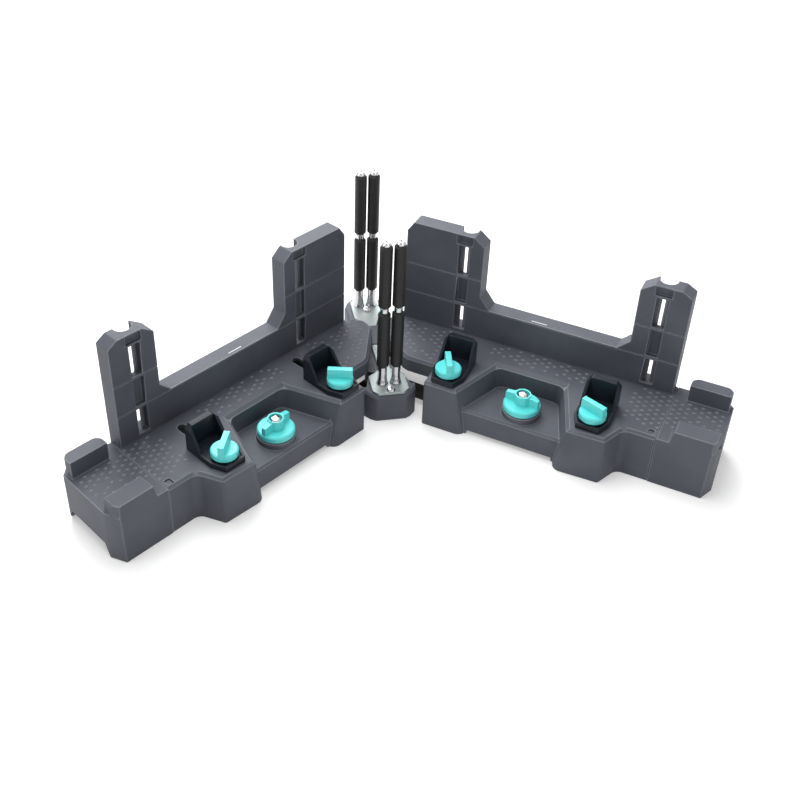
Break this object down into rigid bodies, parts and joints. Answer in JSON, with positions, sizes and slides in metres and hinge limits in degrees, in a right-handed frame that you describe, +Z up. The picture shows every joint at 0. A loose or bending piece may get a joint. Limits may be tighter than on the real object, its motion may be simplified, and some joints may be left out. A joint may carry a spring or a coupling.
{
  "type": "miter box",
  "caption": "Adjustable miter box with folding table wings, upright fences, sliding clamp jaws and roller posts that guide a hand saw.",
  "frame": {"origin": "on the bench, in the saw plane, at the point where the two fence faces meet in plan", "axes": "+X to the right-hand wing, +Y to the back behind the fences, +Z up"},
  "size_m": [0.5878, 0.3134, 0.1864],
  "materials": {
    "moulding": "fine sand texture, dark blue-grey glass-filled polyamide",
    "zinc": "satin blasted zinc casting",
    "roller": "satin charcoal sleeve",
    "chrome": "bright chrome plate",
    "steel": "zinc-plated steel",
    "arm_steel": "black coated flat steel",
    "knob": "semi-gloss turquoise plastic",
    "jaw": "glossy black plastic"
  },
  "bodies": {
    "root": {"centre_base": "moulding", "front_guide_plate": "zinc", "rear_guide_plate": "zinc", "plate_screws": "chrome", "post_collars": "chrome", "post_cap_screws": "chrome", "stay_screws": "steel", "front_left_post": "chrome", "front_right_post": "chrome", "rear_left_post": "chrome", "rear_right_post": "chrome"},
    "front_left_lower_roller": {"front_left_lower_roller": "roller"},
    "front_left_upper_roller": {"front_left_upper_roller": "roller"},
    "front_right_lower_roller": {"front_right_lower_roller": "roller"},
    "front_right_upper_roller": {"front_right_upper_roller": "roller"},
    "rear_left_lower_roller": {"rear_left_lower_roller": "roller"},
    "rear_left_upper_roller": {"rear_left_upper_roller": "roller"},
    "rear_right_lower_roller": {"rear_right_lower_roller": "roller"},
    "rear_right_upper_roller": {"rear_right_upper_roller": "roller"},
    "right_wing": {"right_wing_deck": "moulding", "right_fence": "moulding", "right_fence_screws": "steel", "right_end_piece": "moulding", "right_pivot_screw": "steel", "right_lock_nut": "steel"},
    "right_stay": {"right_stay_arm": "arm_steel"},
    "right_lock": {"right_lock_knob": "knob", "right_lock_bolt": "chrome"},
    "right_outer_jaw": {"right_outer_clamp_jaw": "jaw", "right_outer_clamp_nut": "steel"},
    "right_outer_knob": {"right_outer_clamp_knob": "knob", "right_outer_clamp_bolt": "steel"},
    "right_inner_jaw": {"right_inner_clamp_jaw": "jaw", "right_inner_clamp_nut": "steel"},
    "right_inner_knob": {"right_inner_clamp_knob": "knob", "right_inner_clamp_bolt": "steel"},
    "left_wing": {"left_wing_deck": "moulding", "left_fence": "moulding", "left_fence_screws": "steel", "left_end_piece": "moulding", "left_pivot_screw": "steel", "left_lock_nut": "steel"},
    "left_stay": {"left_stay_arm": "arm_steel"},
    "left_lock": {"left_lock_knob": "knob", "left_lock_bolt": "chrome"},
    "left_outer_jaw": {"left_outer_clamp_jaw": "jaw", "left_outer_clamp_nut": "steel"},
    "left_outer_knob": {"left_outer_clamp_knob": "knob", "left_outer_clamp_bolt": "steel"},
    "left_inner_jaw": {"left_inner_clamp_jaw": "jaw", "left_inner_clamp_nut": "steel"},
    "left_inner_knob": {"left_inner_clamp_knob": "knob", "left_inner_clamp_bolt": "steel"}
  },
  "joints": [
    {"name": "front_left_lower_roller_spin", "type": "hinge", "parent": "root", "child": "front_left_lower_roller", "pos_m": [-0.0064, -0.1032, 0.082], "axis": [0, 0, 1], "continuous": true},
    {"name": "front_left_upper_roller_spin", "type": "hinge", "parent": "root", "child": "front_left_upper_roller", "pos_m": [-0.0064, -0.1032, 0.15], "axis": [0, 0, 1], "continuous": true},
    {"name": "front_right_lower_roller_spin", "type": "hinge", "parent": "root", "child": "front_right_lower_roller", "pos_m": [0.0064, -0.1032, 0.082], "axis": [0, 0, 1], "continuous": true},
    {"name": "front_right_upper_roller_spin", "type": "hinge", "parent": "root", "child": "front_right_upper_roller", "pos_m": [0.0064, -0.1032, 0.15], "axis": [0, 0, 1], "continuous": true},
    {"name": "rear_left_lower_roller_spin", "type": "hinge", "parent": "root", "child": "rear_left_lower_roller", "pos_m": [-0.0064, 0.0282, 0.082], "axis": [0, 0, 1], "continuous": true},
    {"name": "rear_left_upper_roller_spin", "type": "hinge", "parent": "root", "child": "rear_left_upper_roller", "pos_m": [-0.0064, 0.0282, 0.15], "axis": [0, 0, 1], "continuous": true},
    {"name": "rear_right_lower_roller_spin", "type": "hinge", "parent": "root", "child": "rear_right_lower_roller", "pos_m": [0.0064, 0.0282, 0.082], "axis": [0, 0, 1], "continuous": true},
    {"name": "rear_right_upper_roller_spin", "type": "hinge", "parent": "root", "child": "rear_right_upper_roller", "pos_m": [0.0064, 0.0282, 0.15], "axis": [0, 0, 1], "continuous": true},
    {"name": "right_wing_swing", "type": "hinge", "parent": "root", "child": "right_wing", "pos_m": [0.016, -0.032, 0.03], "axis": [0, 0, 1], "range_deg": [-8.6, 36.4]},
    {"name": "right_stay_swing", "type": "hinge", "parent": "root", "child": "right_stay", "pos_m": [0.01, -0.073, 0.0085], "axis": [0, 0, 1], "range_deg": [-9.3, 39.4]},
    {"name": "right_lock_turn", "type": "hinge", "parent": "right_wing", "child": "right_lock", "pos_m": [0.11281, -0.15953, 0.04], "axis": [0, 0, 1], "continuous": true},
    {"name": "right_outer_jaw_slide", "type": "slide", "parent": "right_wing", "child": "right_outer_jaw", "axis": [0.5934, 0.8049, 0], "range_m": [0, 0.034]},
    {"name": "right_outer_knob_turn", "type": "hinge", "parent": "right_outer_jaw", "child": "right_outer_knob", "pos_m": [0.16051, -0.20774, 0.06], "axis": [0, 0, 1], "continuous": true},
    {"name": "right_inner_jaw_slide", "type": "slide", "parent": "right_wing", "child": "right_inner_jaw", "axis": [0.5934, 0.8049, 0], "range_m": [0, 0.034]},
    {"name": "right_inner_knob_turn", "type": "hinge", "parent": "right_inner_jaw", "child": "right_inner_knob", "pos_m": [0.05024, -0.12644, 0.06], "axis": [0, 0, 1], "continuous": true},
    {"name": "left_wing_swing", "type": "hinge", "parent": "root", "child": "left_wing", "pos_m": [-0.016, -0.032, 0.03], "axis": [0, 0, -1], "range_deg": [-8.6, 36.4]},
    {"name": "left_stay_swing", "type": "hinge", "parent": "root", "child": "left_stay", "pos_m": [-0.01, -0.073, 0.0085], "axis": [0, 0, -1], "range_deg": [-9.3, 39.4]},
    {"name": "left_lock_turn", "type": "hinge", "parent": "left_wing", "child": "left_lock", "pos_m": [-0.11281, -0.15953, 0.04], "axis": [0, 0, 1], "continuous": true},
    {"name": "left_outer_jaw_slide", "type": "slide", "parent": "left_wing", "child": "left_outer_jaw", "axis": [-0.5934, 0.8049, 0], "range_m": [0, 0.034]},
    {"name": "left_outer_knob_turn", "type": "hinge", "parent": "left_outer_jaw", "child": "left_outer_knob", "pos_m": [-0.16051, -0.20774, 0.06], "axis": [0, 0, 1], "continuous": true},
    {"name": "left_inner_jaw_slide", "type": "slide", "parent": "left_wing", "child": "left_inner_jaw", "axis": [-0.5934, 0.8049, 0], "range_m": [0, 0.034]},
    {"name": "left_inner_knob_turn", "type": "hinge", "parent": "left_inner_jaw", "child": "left_inner_knob", "pos_m": [-0.05024, -0.12644, 0.06], "axis": [0, 0, 1], "continuous": true}
  ],
  "couplings": [
    {"joint": "right_stay_swing", "follows": "right_wing_swing", "ratio": 1.08},
    {"joint": "left_stay_swing", "follows": "left_wing_swing", "ratio": 1.08}
  ]
}
